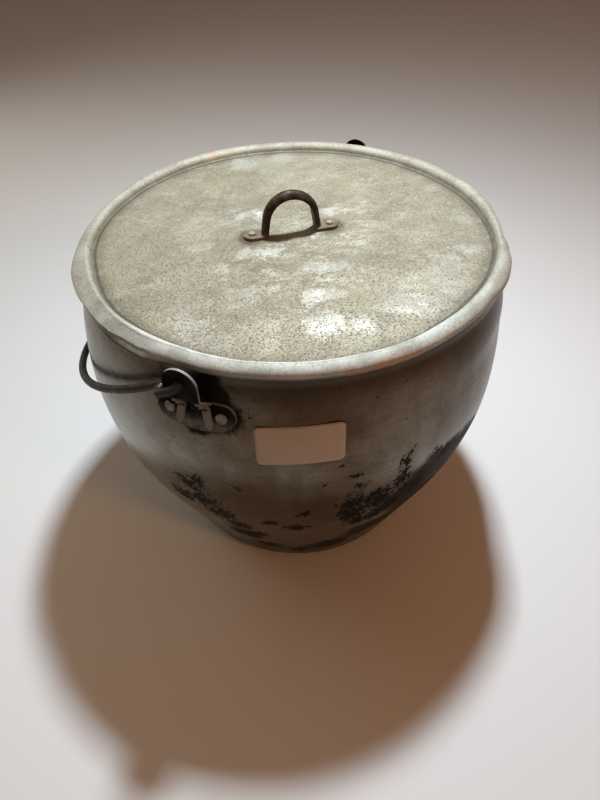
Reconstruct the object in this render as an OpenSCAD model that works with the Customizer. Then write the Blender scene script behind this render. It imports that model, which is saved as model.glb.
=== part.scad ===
// Bellied cooking pot with a lift-off lid and a swinging wire bail.
// All sizes are in millimetres. The frame sits on the floor under the middle of
// the base, +Z up. The two ears lie on X, and the bail hangs down towards -Y.

/* [Pot] */
// Height of the rim above the floor
pot_h = 231.5; // [190:0.5:290]
// Outside width of the mouth
mouth_d = 254; // [200:1:320]
// How far the belly stands out past the mouth, on the radius
belly_swell = 9.5; // [6:0.5:14]
// Share of the height at which the pot is widest
belly_level = 0.665; // [0.55:0.005:0.7]
// How round the wall is under the belly: 1 is one arc down to the base
belly_curve = 0.68; // [0.5:0.01:0.95]
// How far the foot of the wall lies inside the mouth, on the radius
base_draw = 38; // [24:1:52]
// Outside round between the wall and the base
base_round = 18; // [8:0.5:26]
// Height of the straight neck under the rim
neck_h = 12.5; // [11:0.5:18]
// Hollow round between the belly and the neck
neck_round = 15; // [8:0.5:25]
// Thickness of the pot's sheet
wall = 2; // [1.5:0.1:3]

/* [Lid] */
// Thickness of the lid's sheet
lid_t = 1.5; // [1:0.1:2]
// Outside radius of the half-round bead that sits over the rim
bead_r = 5; // [4.5:0.1:7]
// Depth of the panel under the top of the bead
panel_drop = 5; // [2.5:0.1:6]
// Round in the corner between the panel and the bead
panel_round = 1.5; // [0.8:0.1:2.5]
// Length of the straight skirt under the bead
skirt_h = 3.2; // [2.5:0.1:8]

/* [Lid handle] */
// Width of the half-round bar; it is half as thick
bar_w = 8.2; // [6:0.1:9]
// Inside radius of the bend at the top of the arch
arch_r = 13.5; // [12:0.1:18]
// Height of the middle of this bend over the panel
arch_h = 8.7; // [6:0.1:14]
// Lean of the two legs towards each other
leg_lean = 9; // [2:0.5:14]
// Width of the flattened feet
foot_w = 10.5; // [9:0.1:13]
// Thickness of the flattened feet
foot_t = 1.8; // [1.4:0.1:2.2]
// Distance from the outside of the legs to the rivets
foot_reach = 5.2; // [5:0.1:9]
// Turn of the handle about the pot's axis
handle_turn = -55; // [-90:1:90]
// Shift of the handle along its own line, off the pot's axis
handle_off = -1; // [-5:0.1:5]

/* [Ears] */
// Thickness of the ear's sheet
ear_t = 1.4; // [1.2:0.1:2.2]
// Height of the ear's rivets below the rim
ear_drop = 34; // [32:0.5:40]
// Distance between the two rivets of an ear
ear_pitch = 28.4; // [26:0.2:34]
// Radius of the round ends of the base plate
plate_end_r = 7.5; // [7:0.1:9]
// How much the lower edge bows out below the ends
plate_bow = 2.4; // [0.6:0.1:3]
// Radius of the round tongue
tongue_r = 9.1; // [8.5:0.1:11]
// Space between the lid's edge and the bail's leg
lid_clear = 3.3; // [2:0.1:5]
// Slope of the part between the plate and the tongue, from upright
tongue_lean = 45; // [40:1:52]
// Radius of the two pressed ribs
rib_r = 2.2; // [1.8:0.1:2.4]
// Distance between the ribs on the tongue
rib_pitch = 12.4; // [11:0.2:15]
// How much further out each rib's lower end lies
rib_splay = 2.4; // [0:0.1:3]

/* [Bail] */
// Thickness of the wire
wire_d = 4.5; // [3.5:0.1:5.5]
// Height of the bail's pivots below the rim
pivot_drop = 7.5; // [7:0.5:12]
// Radius of the bends in the hooks, to the middle of the wire
hook_bend = 3.5; // [3:0.1:5]
// Play of the wire in the ear's hole, all round
hook_play = 0.45; // [0.3:0.05:1]
// Gap kept between the hook and the tongue's edge
hook_gap = 0.8; // [0.5:0.1:2]
// Depth of the hanging bail's middle under the widest line of the belly
bail_low = 5; // [0:0.5:10]
// Gap between the hanging bail and the belly
rest_gap = 0.4; // [0.3:0.05:1]

/* [Rivets] */
// Shank of the ear rivets
rivet_d = 4.6; // [4:0.1:5]
// Head of the ear rivets
rivet_head_d = 6.4; // [6:0.1:8]
// Shank of the lid rivets
pin_d = 2.6; // [2:0.1:3.2]
// Head of the lid rivets
pin_head_d = 4.2; // [4:0.1:5.5]

/* [Fits] */
// Gap between two pieces that are fixed face to face
seat = 0.05; // [0.02:0.01:0.1]
// Gap between pieces that move on each other
run = 0.3; // [0.3:0.05:0.6]

/* [Hidden] */
$fn = 128;

// A size to the nearest hundredth
function snap(v) = round(v * 100) / 100;
// Points along an arc in n steps
function arc(c, r, a0, a1, n) = [for (i = [0:n]) let (a = a0 + (a1 - a0) * i / n)
    c + r * [cos(a), sin(a)]];
// A list of points backwards
function back(list) = [for (i = [len(list) - 1:-1:0]) list[i]];

// Pot wall: neck, upper belly arc, lower belly arc, cone, base round
rim_r = mouth_d / 2;
belly_r = rim_r + belly_swell;
belly_z = pot_h * belly_level;
neck_z = pot_h - neck_h;
rise = neck_z - belly_z;
top_sum = (belly_swell * belly_swell + rise * rise) / (2 * belly_swell);
top_r = top_sum - neck_round;
top_a = asin(rise / top_sum);
top_x = belly_r - top_r;
neck_x = rim_r + neck_round;

foot_r = rim_r - base_draw;
draw = belly_r - foot_r;
low_r = belly_curve * (belly_z * belly_z + draw * draw) / (2 * draw);
low_x = belly_r - low_r;
low_a = -(atan2(-belly_z, foot_r - low_x)
    + acos(low_r / norm([foot_r - low_x, belly_z])));
base_x = foot_r - base_round * (1 - sin(low_a)) / cos(low_a);

// Outside radius of the upper belly at a height
function wall_r(z) = top_x + sqrt(top_r * top_r - (z - belly_z) * (z - belly_z));
// Upward slope of the upper belly's outward direction at a height
function wall_tilt(z) = asin((z - belly_z) / top_r);

// Lid, seated on the rim
lip_r = rim_r - wall / 2;
bead_z = pot_h + run - bead_r + lid_t;
panel_z = bead_z + bead_r - panel_drop;
lid_r = lip_r + bead_r;

// Lid handle
bar_r = bar_w / 2;
arch_z = panel_z + seat + arch_h;
leg_len = (arch_h + arch_r * sin(leg_lean)) / cos(leg_lean);
leg_s = snap(arch_r * cos(leg_lean) + leg_len * sin(leg_lean));
hole_s = snap(leg_s + bar_r / cos(leg_lean) + foot_reach);
leg_lap = 0.3;
leg_slim = 0.05;

// Bail and pivots
wire_r = wire_d / 2;
pivot_z = pot_h - pivot_drop;
leg_x = lid_r + lid_clear + wire_r;
tongue_x = leg_x + hook_bend;
hook_x = tongue_x + ear_t + hook_bend;
bail_out = belly_r + wire_r + rest_gap;
bail_down = pivot_z - belly_z + bail_low;
bail_reach = norm([bail_out, bail_down]);
bail_drop = atan2(bail_down, bail_out);
leg_w = snap(bail_reach - leg_x);
eye_w = snap((tongue_r + hook_gap + wire_r) / cos(bail_drop));

// Ears
ear_z = pot_h - ear_drop;
ear_a = asin(ear_pitch / 2 / wall_r(ear_z));
half_pitch = ear_pitch / 2;
bow_r = (half_pitch * half_pitch + plate_bow * plate_bow + 2 * plate_bow * plate_end_r)
    / (2 * plate_bow);
bow_a = atan2(plate_end_r + plate_bow - bow_r, half_pitch);
skin_r = top_r + seat + ear_t;
bend_r = ear_t / 2;
bend_c = [tongue_x - bend_r, pivot_z - tongue_r];
lean_n = [cos(tongue_lean), -sin(tongue_lean)];
lean_d = [-sin(tongue_lean), -cos(tongue_lean)];
lean_out = bend_c + (bend_r + ear_t) * lean_n;
lean_v = lean_out - [top_x, belly_z];
lean_b = lean_v * lean_d;
lean_len = -lean_b - sqrt(lean_b * lean_b - lean_v * lean_v + skin_r * skin_r);
lean_foot = lean_out + lean_len * lean_d;

// Ribs: rods let into the sheet for most of its thickness
rib_up = rib_r - 0.9 * ear_t;
rib_z = ear_z - 0.7 * plate_end_r;
knee_n = [cos(wall_tilt(lean_foot[1])), sin(wall_tilt(lean_foot[1]))];
rib_knee = lean_foot + rib_up * (knee_n + lean_n) / (1 + knee_n * lean_n);
rib_top = lean_out + rib_up * lean_n;
rib_low = [top_x + sqrt(pow(skin_r + rib_up, 2) - pow(rib_z - belly_z, 2)), rib_z];

// Rivets
head_h = 1.2;
tail_h = 1;
tail_out = 0.9;
chamfer = 0.35;

// Piece to draw

// Half section of the pot from the middle of the base up to the neck, set in by a depth
function pot_side(depth) = concat([[0, depth]],
    arc([base_x, base_round], base_round - depth, -90, -low_a, 8),
    arc([low_x, belly_z], low_r - depth, -low_a, 0, 10),
    arc([top_x, belly_z], top_r - depth, top_a / 14, top_a, 13),
    arc([neck_x, neck_z], neck_round + depth, 180 + top_a * 3 / 4, 180, 3));

// Puts its children on a rivet's axis, +Z outwards, 0 at the outside of the wall
module at_ear_rivet(side) {
    rotate([0, 0, side * ear_a]) translate([wall_r(ear_z), 0, ear_z])
        rotate([0, 90 - wall_tilt(ear_z), 0]) children();
}

// Puts its children on a lid rivet's axis, 0 at the top of the panel
module at_lid_rivet(side) {
    rotate([0, 0, handle_turn]) translate([handle_off + side * hole_s, 0, panel_z]) children();
}

// Rivet through a stack from low to high, with a formed tail below
module rivet(shank_r, head_r, low, high) {
    rotate_extrude() polygon([[0, low - tail_h], [head_r + tail_out - chamfer, low - tail_h],
        [head_r + tail_out, low - tail_h + chamfer], [head_r + tail_out, low], [shank_r, low],
        [shank_r, high], [head_r, high], [head_r, high + head_h - chamfer],
        [head_r - chamfer, high + head_h], [0, high + head_h]]);
}

module ear_rivet(side) {
    at_ear_rivet(side) rivet(rivet_d / 2, rivet_head_d / 2,
        -wall - seat - pow(rivet_head_d / 2 + tail_out, 2) / rim_r, 2 * seat + ear_t);
}

module lid_rivet(side) {
    at_lid_rivet(side) rivet(pin_d / 2, pin_head_d / 2, -lid_t - seat, 2 * seat + foot_t);
}

// One sheet, spun: flat base, round corner, belly, neck and rounded rim
module pot_shell() {
    color([0.66, 0.64, 0.6]) difference() {
        rotate_extrude() polygon(concat(pot_side(0),
            arc([lip_r, pot_h - wall / 2], wall / 2, 0, 180, 8), back(pot_side(wall))));
        for (turn = [0, 180], side = [-1, 1]) rotate([0, 0, turn]) at_ear_rivet(side)
            translate([0, 0, -2 * wall]) cylinder(h = 4 * wall, r = rivet_d / 2 + seat);
    }
}

// Flat shape of an ear's base plate: round ends, bowed lower edge
module plate_outline() {
    right = arc([half_pitch, 0], plate_end_r, bow_a, 90, 14);
    bow = (90 + bow_a) * 5 / 6;
    polygon(concat(right, [for (p = back(right)) [-p[0], p[1]]],
        arc([0, bow_r - plate_end_r - plate_bow], bow_r, -90 - bow, bow - 90, 10)));
}

// Side section of the tongue: upright face, bend, slope down to the wall
module tongue_area() {
    far = 3 * ear_t + lean_len;
    difference() {
        polygon(concat([lean_out + far * lean_d],
            arc(bend_c, bend_r + ear_t, -tongue_lean, 0, 6),
            [[tongue_x + ear_t, pivot_z], [tongue_x, pivot_z]],
            arc(bend_c, bend_r, 0, -tongue_lean, 6),
            [bend_c + bend_r * lean_n + far * lean_d]));
        translate([top_x, belly_z]) circle(top_r + seat);
    }
}

// Round rod with tapered ends between two points
module rib_rod(p, q) {
    d = q - p;
    taper = rib_r * 0.6;
    translate(p) rotate([0, acos(d[2] / norm(d)), atan2(d[1], d[0])]) rotate_extrude()
        polygon([[0, -taper], [0.4 * rib_r, -taper], [rib_r, taper], [rib_r, norm(d) - taper],
            [0.4 * rib_r, norm(d) + taper], [0, norm(d) + taper]]);
}

// Pressed ear: plate shaped to the belly, ribs across the bend, set-out tongue
module ear() {
    far = 3 * ear_t + lean_len;
    span = 2 * asin((half_pitch + plate_end_r + 4) / rim_r);
    inner = bend_c + bend_r * lean_n;
    low_a = wall_tilt(ear_z - 2 * plate_end_r);
    high_a = wall_tilt(ear_z + 1.5 * plate_end_r);
    difference() {
        union() {
            difference() {
                intersection() {
                    rotate([0, 0, -span / 2]) rotate_extrude(angle = span)
                        polygon(concat(arc([top_x, belly_z], top_r + seat, low_a, high_a, 10),
                            arc([top_x, belly_z], skin_r, high_a, low_a, 10)));
                    translate([0, 0, ear_z]) rotate([90, 0, 90])
                        linear_extrude(2 * belly_r) plate_outline();
                }
                // the plate's middle is drawn out into the tongue
                rotate([90, 0, 0]) linear_extrude(2 * tongue_r, center = true)
                    polygon([inner, inner + far * lean_d, [rim_r - wall, inner[1]]]);
            }
            rotate([90, 0, 0]) linear_extrude(2 * tongue_r, center = true) tongue_area();
            translate([tongue_x, 0, pivot_z]) rotate([0, 90, 0]) cylinder(h = ear_t, r = tongue_r);
            for (side = [-1, 1]) {
                rib_y = side * rib_pitch / 2;
                knee = [rib_knee[0], rib_y, rib_knee[1]];
                rib_rod([rib_low[0], rib_y + side * rib_splay, rib_low[1]], knee);
                rib_rod(knee, [rib_top[0], rib_y, rib_top[1]]);
            }
        }
        translate([tongue_x - ear_t, 0, pivot_z]) rotate([0, 90, 0])
            cylinder(h = 3 * ear_t, r = wire_r + hook_play);
        for (side = [-1, 1]) at_ear_rivet(side)
            translate([0, 0, -wall]) cylinder(h = 4 * wall, r = rivet_d / 2 + seat);
    }
}

module ear_a() { color([0.42, 0.4, 0.37]) ear(); }
module ear_b() { color([0.42, 0.4, 0.37]) rotate([0, 0, 180]) ear(); }
module ear_rivet_a1() { color([0.7, 0.68, 0.64]) ear_rivet(-1); }
module ear_rivet_a2() { color([0.7, 0.68, 0.64]) ear_rivet(1); }
module ear_rivet_b1() { color([0.7, 0.68, 0.64]) rotate([0, 0, 180]) ear_rivet(-1); }
module ear_rivet_b2() { color([0.7, 0.68, 0.64]) rotate([0, 0, 180]) ear_rivet(1); }

// Quarter bend of the bail's wire in its own plane
module wire_bend(c, a0) {
    translate([c[0], c[1], 0]) rotate([0, 0, a0]) rotate_extrude(angle = 90)
        translate([hook_bend, 0]) circle(wire_r);
}

// Leg and closed hook at one end of the bail
module bail_end() {
    translate([leg_x, -hook_bend, 0]) rotate([90, 0, 0]) cylinder(h = leg_w - hook_bend, r = wire_r);
    wire_bend([tongue_x, -hook_bend], 90);
    translate([tongue_x, 0, 0]) rotate([0, 90, 0]) cylinder(h = ear_t, r = wire_r);
    wire_bend([tongue_x + ear_t, -hook_bend], 0);
    translate([hook_x, -hook_bend, 0]) rotate([90, 0, 0])
        cylinder(h = eye_w - 2 * hook_bend, r = wire_r);
    wire_bend([tongue_x + ear_t, hook_bend - eye_w], 270);
    translate([leg_x + wire_r + run, -eye_w, 0]) rotate([0, 90, 0])
        cylinder(h = tongue_x + ear_t - leg_x - wire_r - run, r = wire_r);
}

// Hooped wire, hanging against the belly
module bail() {
    color([0.3, 0.27, 0.24]) translate([0, 0, pivot_z]) rotate([bail_drop, 0, 0]) {
        translate([0, -leg_w, 0]) rotate([0, 0, 180]) rotate_extrude(angle = 180)
            translate([leg_x, 0]) circle(wire_r);
        bail_end();
        mirror([1, 0, 0]) bail_end();
    }
}

// One sheet, pressed: recessed panel, half-round bead over the rim, skirt
module lid_shell() {
    bead_c = [lip_r, bead_z];
    up = panel_z + panel_round - bead_z;
    corner_c = [lip_r - sqrt(pow(bead_r + panel_round, 2) - up * up), panel_z + panel_round];
    meet = atan2(-up, lip_r - corner_c[0]);
    color([0.72, 0.69, 0.64]) difference() {
        rotate_extrude() polygon(concat([[0, panel_z]],
            arc(corner_c, panel_round, -90, meet, 6),
            arc(bead_c, bead_r, 178 + meet, 0, 20),
            [[lid_r, bead_z - skirt_h], [lid_r - lid_t, bead_z - skirt_h]],
            arc(bead_c, bead_r - lid_t, 0, 178 + meet, 20),
            arc(corner_c, panel_round + lid_t, meet, -90, 6), [[0, panel_z - lid_t]]));
        for (side = [-1, 1]) at_lid_rivet(side)
            translate([0, 0, -2 * lid_t]) cylinder(h = 4 * lid_t, r = pin_d / 2 + seat);
    }
}

// Section of the half-round bar, its flat side on the Y axis, slimmer all round by a depth
module bar_section(slim = 0) {
    intersection() {
        circle(bar_r - slim);
        translate([slim, -bar_w]) square(2 * bar_w);
    }
}

// Bent half-round bar: round top, legs that lean together, flattened feet
module lid_handle() {
    spare = bar_w;
    color([0.2, 0.15, 0.12]) difference() {
        rotate([0, 0, handle_turn]) translate([handle_off, 0, 0]) {
            translate([0, 0, arch_z]) rotate([90, 0, 0]) rotate([0, 0, leg_lean])
                rotate_extrude(angle = 180 - 2 * leg_lean) translate([arch_r, 0]) bar_section();
            for (turn = [0, 180]) rotate([0, 0, turn]) {
                translate([0, 0, arch_z]) rotate([90, 0, 0]) rotate([0, 0, leg_lean])
                    translate([arch_r, leg_lap, 0]) rotate([90, 0, 0])
                    linear_extrude(leg_lap + leg_len + spare) bar_section(leg_slim);
                translate([leg_s, -foot_w / 2, panel_z + seat]) cube([hole_s - leg_s, foot_w, foot_t]);
                translate([hole_s, 0, panel_z + seat]) cylinder(h = foot_t, r = foot_w / 2);
            }
        }
        // the legs end level with the underside of the feet
        translate([0, 0, panel_z + seat - 2 * spare]) cylinder(h = 2 * spare, r = 2 * hole_s);
        for (side = [-1, 1]) at_lid_rivet(side)
            translate([0, 0, -foot_t]) cylinder(h = 4 * foot_t, r = pin_d / 2 + seat);
    }
}

module lid_rivet_a() { color([0.75, 0.73, 0.7]) lid_rivet(-1); }
module lid_rivet_b() { color([0.75, 0.73, 0.7]) lid_rivet(1); }

pot_shell();
ear_a();
ear_b();
ear_rivet_a1();
ear_rivet_a2();
ear_rivet_b1();
ear_rivet_b2();
bail();
lid_shell();
lid_handle();
lid_rivet_a();
lid_rivet_b();
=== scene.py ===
# %% [markdown]
# # An old aluminium stockpot
# The solids come from CAD as a frame: pot, ears, bail, lid, lid handle and rivets, each a named
# node that already moves with its body. This script adds what CAD leaves out: the dents of a sheet
# that was used for years, the soot, the rubbed metal, a paper sticker, and the light.

# %% Open the frame
import math
import random

import bmesh
import bpy
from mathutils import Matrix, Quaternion, Vector, noise


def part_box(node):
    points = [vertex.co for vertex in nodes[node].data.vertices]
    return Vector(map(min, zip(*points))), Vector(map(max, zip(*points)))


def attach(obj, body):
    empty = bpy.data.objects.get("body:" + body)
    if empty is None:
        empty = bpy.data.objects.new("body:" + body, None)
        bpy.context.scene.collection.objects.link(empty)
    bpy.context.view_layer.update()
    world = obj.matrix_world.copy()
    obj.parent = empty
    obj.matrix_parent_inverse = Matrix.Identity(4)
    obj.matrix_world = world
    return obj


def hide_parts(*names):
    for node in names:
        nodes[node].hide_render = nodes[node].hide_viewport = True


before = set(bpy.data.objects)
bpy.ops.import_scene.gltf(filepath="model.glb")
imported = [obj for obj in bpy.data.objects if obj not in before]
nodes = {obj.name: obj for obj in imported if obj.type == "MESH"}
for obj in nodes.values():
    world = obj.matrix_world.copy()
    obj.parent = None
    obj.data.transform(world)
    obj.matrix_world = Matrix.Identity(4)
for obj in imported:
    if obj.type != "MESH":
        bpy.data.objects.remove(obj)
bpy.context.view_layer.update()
print("nodes:", ", ".join(sorted(nodes)))

# %% [markdown]
# ## Camera
# The photograph was taken by hand from above. A camera that stands at the same height and
# distance, looks down by the same angle and has the same focal length gives the same ellipses.
# The camera is also rolled a little, so it is aimed with a track quaternion and then turned about
# its own axis.

# %% Place the camera
PHOTO_LONG_SIDE = 800  # pixels
FOCAL_PX = 590
SENSOR = 36.0  # millimetres, along the long side
camera_height = 0.4095
camera_reach = 0.3317  # from the pot's axis, in plan
camera_azimuth = math.radians(22.5)  # where it stands, from +X
camera_heading = math.radians(202.0)
camera_pitch = math.radians(44.6)
camera_roll = math.radians(1.88)

camera_data = bpy.data.cameras.new("photo_camera")
camera_data.sensor_width = SENSOR
camera_data.lens = SENSOR * FOCAL_PX / PHOTO_LONG_SIDE
camera = bpy.data.objects.new("photo_camera", camera_data)
bpy.context.scene.collection.objects.link(camera)
camera.location = (camera_reach * math.cos(camera_azimuth),
                   camera_reach * math.sin(camera_azimuth), camera_height)
sight = Vector((math.cos(camera_pitch) * math.cos(camera_heading),
                math.cos(camera_pitch) * math.sin(camera_heading), -math.sin(camera_pitch)))
camera.rotation_mode = "QUATERNION"
camera.rotation_quaternion = (sight.to_track_quat("-Z", "Y")
                              @ Quaternion((0, 0, 1), -camera_roll))
camera_data.clip_start = 0.01
bpy.context.scene.camera = camera
print("lens", round(camera_data.lens, 2), "mm")

# %% [markdown]
# ## Small helpers for shaders
# Every finish below is a node tree on Object coordinates, so a pattern stays on the metal when a
# piece moves. These helpers only shorten the wiring: `put` makes a node and fills or links its
# sockets, and the others name the few steps that come back again and again.

# %% Make and link nodes
def put(tree, kind, sockets=(), **settings):
    """Makes a shader node. sockets maps an input's name or number to a value or another output."""
    made = tree.nodes.new("ShaderNode" + kind)
    for key, value in settings.items():
        setattr(made, key, value)
    for key, value in dict(sockets).items():
        if isinstance(value, bpy.types.NodeSocket):
            tree.links.new(value, made.inputs[key])
        else:
            made.inputs[key].default_value = value
    return made


def new_finish(name):
    """A material, its tree, its shader and the Object coordinates."""
    finish = bpy.data.materials.new(name)
    finish.use_nodes = True
    tree = finish.node_tree
    return finish, tree, tree.nodes["Principled BSDF"], put(tree, "TexCoord").outputs["Object"]


def wire_up(tree, shader, **sockets):
    """Links or sets the shader's own sockets."""
    names = {"colour": "Base Color", "metal": "Metallic", "rough": "Roughness"}
    for key, value in sockets.items():
        if isinstance(value, bpy.types.NodeSocket):
            tree.links.new(value, shader.inputs[names[key]])
        else:
            shader.inputs[names[key]].default_value = value


def relief(tree, shader, height, depth):
    """Bump from a height, depth in metres."""
    bump = put(tree, "Bump", {"Height": height, "Distance": depth, "Strength": 1.0})
    tree.links.new(bump.outputs["Normal"], shader.inputs["Normal"])


# %% Arithmetic and colour
def plus(tree, a, b):
    """Sum of two values."""
    return put(tree, "Math", {0: a, 1: b}, operation="ADD").outputs[0]


def less(tree, a, b):
    """First value less the second."""
    return put(tree, "Math", {0: a, 1: b}, operation="SUBTRACT").outputs[0]


def times(tree, a, b):
    """Product of two values."""
    return put(tree, "Math", {0: a, 1: b}, operation="MULTIPLY").outputs[0]


def most(tree, a, b):
    """The greater of two values."""
    return put(tree, "Math", {0: a, 1: b}, operation="MAXIMUM").outputs[0]


def unsigned(tree, value):
    """A value without its sign."""
    return put(tree, "Math", {0: value}, operation="ABSOLUTE").outputs[0]


def step(tree, value, low, high, out_low=0.0, out_high=1.0):
    """A soft step of a value between two levels."""
    return put(tree, "MapRange", {"Value": value, "From Min": low, "From Max": high,
                                  "To Min": out_low, "To Max": out_high},
               interpolation_type="SMOOTHSTEP").outputs["Result"]


def tint(tree, amount, under, over):
    """Lays one colour over another."""
    mixed = put(tree, "Mix", {0: amount}, data_type="RGBA")
    for index, colour in ((6, under), (7, over)):
        if isinstance(colour, bpy.types.NodeSocket):
            tree.links.new(colour, mixed.inputs[index])
        else:
            mixed.inputs[index].default_value = (*colour, 1)
    return mixed.outputs[2]


# %% Patterns and places
def stretch(tree, place, scale):
    """Coordinates scaled along each axis."""
    return put(tree, "Mapping", {"Vector": place, "Scale": scale}).outputs["Vector"]


def cloud(tree, place, scale, detail=4.0, rough=0.55):
    """Noise from 0 to 1, scale in lumps per metre."""
    return put(tree, "TexNoise", {"Vector": place, "Scale": scale, "Detail": detail,
                                  "Roughness": rough}).outputs[0]


def shifted(tree, place, scale, reach):
    """Coordinates pushed about by noise, so that what is drawn with them gets a torn outline."""
    drift = put(tree, "TexNoise", {"Vector": place, "Scale": scale, "Detail": 6.0,
                                   "Roughness": 0.65})
    centred = put(tree, "VectorMath", {0: drift.outputs["Color"], 1: (0.5, 0.5, 0.5)},
                  operation="SUBTRACT").outputs[0]
    return put(tree, "VectorMath", {0: centred, 1: (reach, reach, reach), 2: place},
               operation="MULTIPLY_ADD").outputs[0]


def near(tree, place, spots):
    """1 at the middle of any spot and 0 at its reach. A spot is (point, reach)."""
    total = None
    for point, reach in spots:
        far = put(tree, "VectorMath", {0: place, 1: point}, operation="DISTANCE").outputs["Value"]
        close = step(tree, far, reach, 0.0)
        total = close if total is None else most(tree, total, close)
    return total


def toward(tree, place, azimuth_deg):
    """How far a point lies from the axis towards an azimuth, in metres."""
    a = math.radians(azimuth_deg)
    return put(tree, "VectorMath", {0: place, 1: (math.cos(a), math.sin(a), 0)},
               operation="DOT_PRODUCT").outputs["Value"]


def height_of(tree, place):
    """Height over the floor, in metres."""
    return put(tree, "SeparateXYZ", {0: place}).outputs["Z"]


# %% [markdown]
# ## Sizes from the frame
# The main sizes are read from the CAD nodes' boxes, so the sheet made here lies where the solids
# are. The few sizes that a box can't give, such as the round of the base, repeat the source.

# %% Read the sizes
MM = 0.001
pot_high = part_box("pot_shell")[1]
lid_low, lid_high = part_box("lid_shell")
pot_h, belly_r = pot_high.z, pot_high.x
lid_r, lid_edge_z, lid_top = lid_high.x, lid_low.z, lid_high.z
wall, lid_t = 2 * MM, 1.5 * MM
belly_swell, belly_level, belly_curve = 9.5 * MM, 0.665, 0.68
base_draw, base_round = 38 * MM, 18 * MM
neck_h, neck_round = 12.5 * MM, 15 * MM
bead_r, panel_drop, panel_round = 5 * MM, 5 * MM, 1.5 * MM
lip_r, bead_z = lid_r - bead_r, lid_top - bead_r
panel_z = lid_top - panel_drop
corner_up = panel_z + panel_round - bead_z
corner = (lip_r - math.sqrt((bead_r + panel_round) ** 2 - corner_up ** 2), panel_z + panel_round)
meet = math.atan2(-corner_up, lip_r - corner[0])
bead_w = lid_r - corner[0]
print("pot", round(pot_h, 4), "high,", round(2 * belly_r, 4), "wide; lid", round(2 * lid_r, 4))

# %% [markdown]
# ## The pot
# The pot is one disc of aluminium, spun over a former: base, round corner, belly and neck are one
# sheet. In Blender the same idea is a half section turned about Z with `bmesh.ops.spin`. The
# section is a chain of arcs that run into each other, outside up and inside down again, so the
# spun sheet is closed and has its real thickness.

# %% The radii of the pot's half section
rim_r = belly_r - belly_swell
belly_z, neck_z = pot_h * belly_level, pot_h - neck_h
rise = neck_z - belly_z
top_sum = (belly_swell ** 2 + rise ** 2) / (2 * belly_swell)
top_r, top_a = top_sum - neck_round, math.asin(rise / top_sum)
foot_r = rim_r - base_draw
drawn_in = belly_r - foot_r
low_r = belly_curve * (belly_z ** 2 + drawn_in ** 2) / (2 * drawn_in)
low_x, top_x = belly_r - low_r, belly_r - top_r
low_a = -(math.atan2(-belly_z, foot_r - low_x)
          + math.acos(low_r / math.hypot(foot_r - low_x, belly_z)))
base_x = foot_r - base_round * (1 - math.sin(low_a)) / math.cos(low_a)
print("rim", round(rim_r, 4), "belly", round(belly_r, 4), "base", round(base_x, 4))

# %% The pot's half section
FOOT_STEPS, CONE_STEPS, BELLY_STEPS, SHOULDER_STEPS, NECK_STEPS, RIM_STEPS = 10, 12, 18, 20, 4, 8
BASE_RINGS = 10
NECK_START = 0.75  # share of the shoulder's lean at which the neck's round starts


def arc(centre, radius, start, end, steps):
    """Points (radius, height) along an arc, angles in radians."""
    return [(centre[0] + radius * math.cos(start + (end - start) * i / steps),
             centre[1] + radius * math.sin(start + (end - start) * i / steps))
            for i in range(steps + 1)]


def pot_side(depth):
    """The pot's wall from the base's edge up to the neck, set in by a depth."""
    cone_foot = arc((base_x, base_round), base_round - depth, -math.pi / 2, -low_a, FOOT_STEPS)
    belly = arc((low_x, belly_z), low_r - depth, -low_a, 0, BELLY_STEPS)
    cone = [tuple(a + (b - a) * i / CONE_STEPS for a, b in zip(cone_foot[-1], belly[0]))
            for i in range(1, CONE_STEPS)]
    shoulder = arc((top_x, belly_z), top_r - depth, top_a / SHOULDER_STEPS, top_a,
                   SHOULDER_STEPS - 1)
    neck = arc((rim_r + neck_round, neck_z), neck_round + depth,
               math.pi + NECK_START * top_a, math.pi, NECK_STEPS)
    return cone_foot + cone + belly + shoulder + neck


base_rings = [(base_x * i / BASE_RINGS, 0.0) for i in range(BASE_RINGS)]
floor_rings = [(base_x * i / BASE_RINGS, wall) for i in range(BASE_RINGS - 1, -1, -1)]
rim = arc((rim_r - wall / 2, pot_h - wall / 2), wall / 2, 0, math.pi, RIM_STEPS)
pot_section = base_rings + pot_side(0) + rim + pot_side(wall)[::-1] + floor_rings
print("pot section:", len(pot_section), "points")


# %% Places on the wall
def wall_r(z):
    """Outside radius of the pot's wall at a height."""
    side = pot_side(0)
    for (r0, z0), (r1, z1) in zip(side, side[1:]):
        if z0 <= z <= z1:
            return r0 + (r1 - r0) * (z - z0) / (z1 - z0)
    return rim_r


def on_wall(azimuth_deg, z, out=0.0):
    """A point on the pot's outside."""
    a, r = math.radians(azimuth_deg), wall_r(z) + out
    return Vector((r * math.cos(a), r * math.sin(a), z))


print("wall radius at the belly:", round(wall_r(belly_z), 4))

# %% Spin a sheet
TURNS = 192
SAME_POINT = 1e-7  # metres


def spun_sheet(section):
    """Turns a half section about Z into a closed sheet; both its ends lie on the axis."""
    bm = bmesh.new()
    verts = [bm.verts.new((r, 0.0, z)) for r, z in section]
    edges = [bm.edges.new(pair) for pair in zip(verts, verts[1:])]
    bmesh.ops.spin(bm, geom=verts + edges, cent=(0, 0, 0), axis=(0, 0, 1),
                   angle=2 * math.pi, steps=TURNS, use_merge=True)
    bmesh.ops.remove_doubles(bm, verts=bm.verts, dist=SAME_POINT)
    bmesh.ops.recalc_face_normals(bm, faces=bm.faces)
    return bm


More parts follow.
